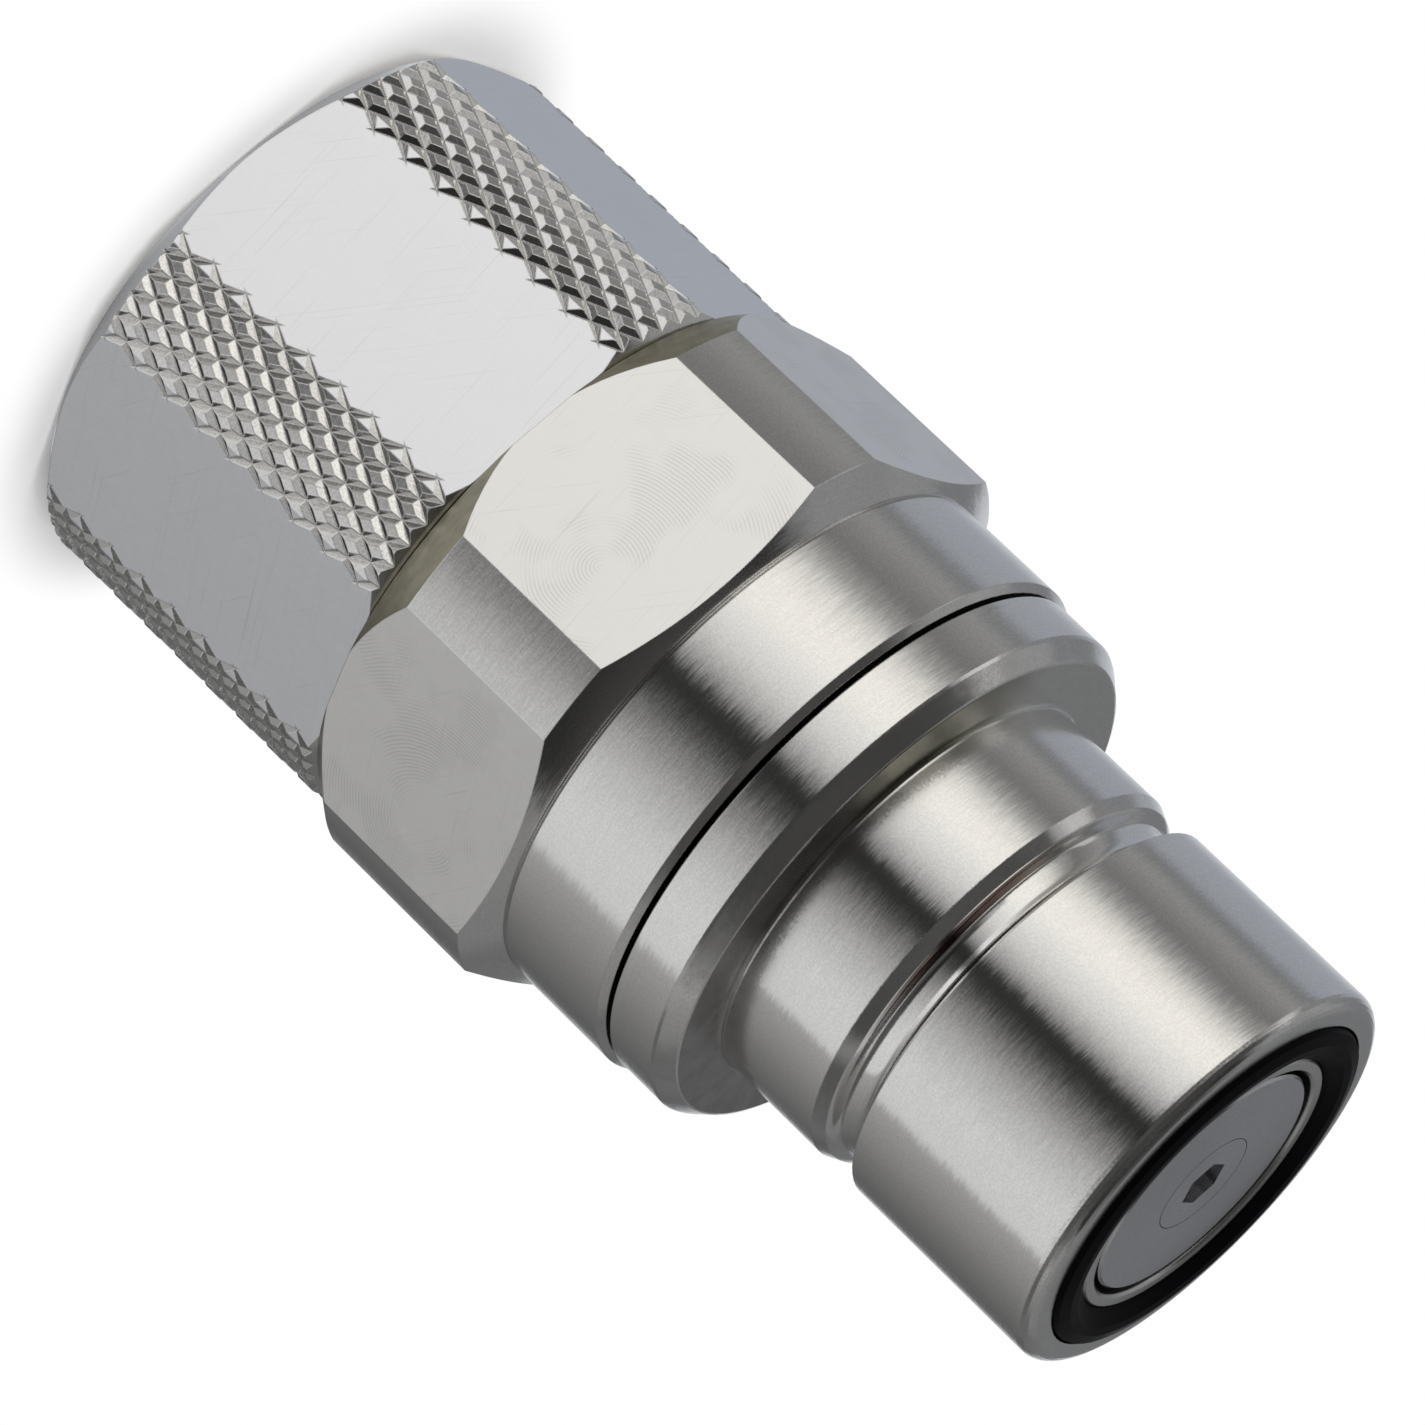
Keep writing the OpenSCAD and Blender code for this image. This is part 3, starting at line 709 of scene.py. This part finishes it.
# The bright wall reaches higher than the rest between these directions
TALL_WALL = [(-180, 0.0), (-90, 0.0), (-80, 1.0), (-37, 1.0), (-32, 0.2), (-25, 0.0), (180, 0.0)]
WALL_LIFT = 0.38
CEILING = grey(0.07, 0.3)
FAR_CEILING = grey(0.02)
NADIR = grey(0.66, -0.6)
TENT_RADIUS = 1.5

LAMP_DISTANCE = 0.6
LAMP_SIZE = 0.5

# Strength of the white background as a light, where 1 is what the camera sees
AMBIENT = 0.7

# Between these distances from the axis the floor fades to plain white for the camera, so that only a
# rim of the part's shadow shows
FLOOR_FADE = (9.6 * MM, 12.5 * MM)


def light_tent():
    """A sphere of grey bands round the object that only its gloss sees."""
    bpy.ops.mesh.primitive_uv_sphere_add(segments=48, ring_count=24, radius=TENT_RADIUS)
    tent = bpy.context.object
    tent.name = "light_tent"
    material = bpy.data.materials.new("tent_panels")
    graph = empty_graph(material)
    direction = graph.vector("NORMALIZE", graph.add("ShaderNodeTexCoord", out=3))
    x, y, z = graph.split(direction)
    angle = graph.math("SUBTRACT", graph.math("ARCTAN2", y, x), math.radians(VIEW_AZIMUTH))
    turn = graph.math("FRACT", graph.math("ADD", graph.math("DIVIDE", angle, 2 * math.pi), 0.5))

    def round_view(stops):
        return graph.ramp(
            turn, [((degrees + 180) / 360, grey(level, warmth)) for degrees, level, warmth in stops])

    tall = graph.ramp(turn, [((degrees + 180) / 360, (level,) * 3) for degrees, level in TALL_WALL])
    lowered = graph.math("SUBTRACT", z, graph.math("MULTIPLY", tall, WALL_LIFT))
    colour = graph.mix(graph.fade(lowered, -0.02, 0.10), round_view(WALLS), round_view(SKY))
    colour = graph.mix(graph.fade(z, 0.33, 0.40), colour, round_view(MID))
    colour = graph.mix(graph.fade(z, 0.56, 0.62), colour, round_view(HIGH))
    behind = graph.fade(graph.math("COSINE", angle), 0.0, -0.3)
    colour = graph.mix(graph.fade(z, 0.80, 0.90), colour, graph.mix(behind, CEILING, FAR_CEILING))
    colour = graph.mix(graph.fade(z, -0.52, -0.64), colour, round_view(PAPER))
    colour = graph.mix(graph.fade(z, -0.90, -0.98), colour, NADIR)
    emission = graph.add("ShaderNodeEmission", {"Color": colour, "Strength": 1.0})
    graph.output("ShaderNodeOutputMaterial", emission)
    tent.data.materials.append(material)
    tent.location = (0, 0, VIEW_HEIGHT)
    tent.visible_camera = False
    tent.visible_diffuse = False
    tent.visible_shadow = False
    tent.visible_transmission = False
    tent.visible_volume_scatter = False


def make_world():
    """A white background, a little weaker as a light than as what is seen."""
    world = bpy.data.worlds.new("studio")
    bpy.context.scene.world = world
    graph = empty_graph(world)
    path = graph.tree.nodes.new("ShaderNodeLightPath")
    through = graph.math("MAXIMUM", path.outputs["Is Glossy Ray"], path.outputs["Is Transmission Ray"])
    seen = graph.math("MAXIMUM", path.outputs["Is Camera Ray"], through)
    strength = graph.math("ADD", AMBIENT, graph.math("MULTIPLY", seen, 1 - AMBIENT))
    background = graph.add("ShaderNodeBackground", {"Color": (1, 1, 1, 1), "Strength": strength})
    graph.output("ShaderNodeOutputWorld", background)


def make_lamp(name, azimuth, elevation, power):
    data = bpy.data.lights.new(name, "AREA")
    data.shape = "DISK"
    data.size = LAMP_SIZE
    data.energy = power
    lamp = bpy.data.objects.new(name, data)
    a, e = math.radians(azimuth), math.radians(elevation)
    direction = Vector((math.cos(a) * math.cos(e), math.sin(a) * math.cos(e), math.sin(e)))
    place = LAMP_DISTANCE * direction
    lamp.location = place + Vector((0, 0, VIEW_HEIGHT))
    lamp.rotation_mode = "QUATERNION"
    lamp.rotation_quaternion = place.to_track_quat("Z", "Y")
    lamp.visible_glossy = False
    lamp.visible_camera = False
    bpy.context.scene.collection.objects.link(lamp)


def make_floor():
    """A pale card under the part, which no gloss sees."""
    bpy.ops.mesh.primitive_circle_add(vertices=128, radius=1.2, fill_type="NGON")
    floor = bpy.context.object
    floor.name = "floor"
    material = bpy.data.materials.new("pale_floor")
    graph = empty_graph(material)
    reach = graph.vector("LENGTH", graph.add("ShaderNodeTexCoord", out=3), out=1)
    path = graph.tree.nodes.new("ShaderNodeLightPath")
    card = graph.add("ShaderNodeBsdfDiffuse", {"Color": (0.95, 0.95, 0.95, 1)})
    glow = graph.add("ShaderNodeEmission", {"Color": (1, 1, 1, 1), "Strength": 1.0})
    share = graph.math("MULTIPLY", graph.fade(reach, *FLOOR_FADE), path.outputs["Is Camera Ray"])
    graph.output("ShaderNodeOutputMaterial", graph.add("ShaderNodeMixShader", (share, card, glow)))
    floor.data.materials.append(material)
    floor.visible_glossy = False


# ---- Assembly ----

make_camera()
make_world()
light_tent()
make_floor()
make_lamp("key", azimuth=VIEW_AZIMUTH - 40, elevation=50, power=1.2)
make_lamp("fill", azimuth=VIEW_AZIMUTH + 70, elevation=35, power=0.7)

STEEL = (0.80, 0.79, 0.77)
# Painted dark brown reflection on the hexagon's chamfer beside the nut
BROWN_REFLECTION = (0.42, 0.39, 0.30)
# Painted olive shade on the step behind the front collar, on the side toward the camera
OLIVE_SHADE = (0.32, 0.31, 0.24)
SHADED = (0.45, 0.43, 0.41)
# Painted brown shade in the ball groove, on the side toward the camera
GROOVE_SHADE = (0.16, 0.12, 0.11)
# Painted black shade on the faces inside the joint between the two bodies
GAP_SHADE = (0.02, 0.02, 0.02)
BODY_MILLED = (0.83, 0.82, 0.80)
NUT_MILLED = (0.83, 0.835, 0.855)

# The first is a painted dark brown reflection round the hexagon's chamfer beside the nut, and the next two
# are painted shade that blackens the bodies' joint.
# The last three are patches of painted shade, olive, grey and brown, on the side that the camera looks at.
# They imitate its dark and brown places, which may be stains or only reflections. All are fixed on the
# part.
NEAR_JOINT = (JOINT_LOW - 0.2, JOINT_HIGH + 0.2)
ON_STEP = (COLLAR_HIGH - 0.05, COLLAR_HIGH + 0.3, NOSE_RADIUS, 8.9, 0.3)
SHADE_PATCHES = [
    ShadePatch(HEX_LOW - 0.1, HEX_LOW + 2, HEX_FLAT - 0.3, 12, -0.3, BROWN_REFLECTION, 0.34),
    ShadePatch(*NEAR_JOINT, 5, 9.35, 0.3, GAP_SHADE, 0.6),
    ShadePatch(*NEAR_JOINT, 5, 9.30, -0.3, GAP_SHADE, 0.6),
    ShadePatch(*ON_STEP, OLIVE_SHADE, 0.22, toward=VIEW_AZIMUTH - 22, reach=30),
    ShadePatch(*ON_STEP, SHADED, 0.22, toward=VIEW_AZIMUTH + 70, reach=75),
    ShadePatch(GROOVE_LOW, GROOVE_HIGH, 6.62, 6.96, 0.3, GROOVE_SHADE, 0.15, toward=VIEW_AZIMUTH - 5, reach=30),
]
body_metal = steel(
    "body_steel", STEEL, rough=0.17, shade_patches=SHADE_PATCHES,
    hexagon=Hexagon(HEX_FLAT, 0, HEX_LOW - 0.1, HEX_HIGH + 0.1, BODY_MILLED, 0.4),
    groove=Groove(GROOVE_LOW, GROOVE_HIGH, NOSE_RADIUS - 0.01, 1.0))
nut_metal = steel(
    "nut_steel", STEEL, rough=0.14,
    hexagon=Hexagon(NUT_FLAT, NUT_ROLL, -0.1, NUT_LENGTH + 0.1, NUT_MILLED, 0.04))
inner_metal = steel("inner_steel", (0.70, 0.69, 0.67), rough=0.24)
disc_metal = steel("disc_steel", (0.72, 0.72, 0.74), rough=0.2, wear=0.0)
spring_metal = steel("spring_wire", (0.6, 0.6, 0.6), rough=0.3)
black_rubber = rubber("seal_rubber")

for node in ("rear_body", "nose_body"):
    coat(nodes[node], body_metal)
coat(nodes["clamp_nut"], nut_metal)
for node in ("clamp_ring", "seat_sleeve", "valve_stem", "valve_guide"):
    coat(nodes[node], inner_metal)
for node in ("valve_disc", "valve_screw"):
    coat(nodes[node], disc_metal)
for node in ("body_o_ring", "face_seal", "sleeve_o_ring", "valve_o_ring"):
    coat(nodes[node], black_rubber)
make_nut()
make_threaded_body()
make_rings()
make_spring()

bpy.context.scene.view_settings.view_transform = "Standard"
bpy.context.view_layer.update()
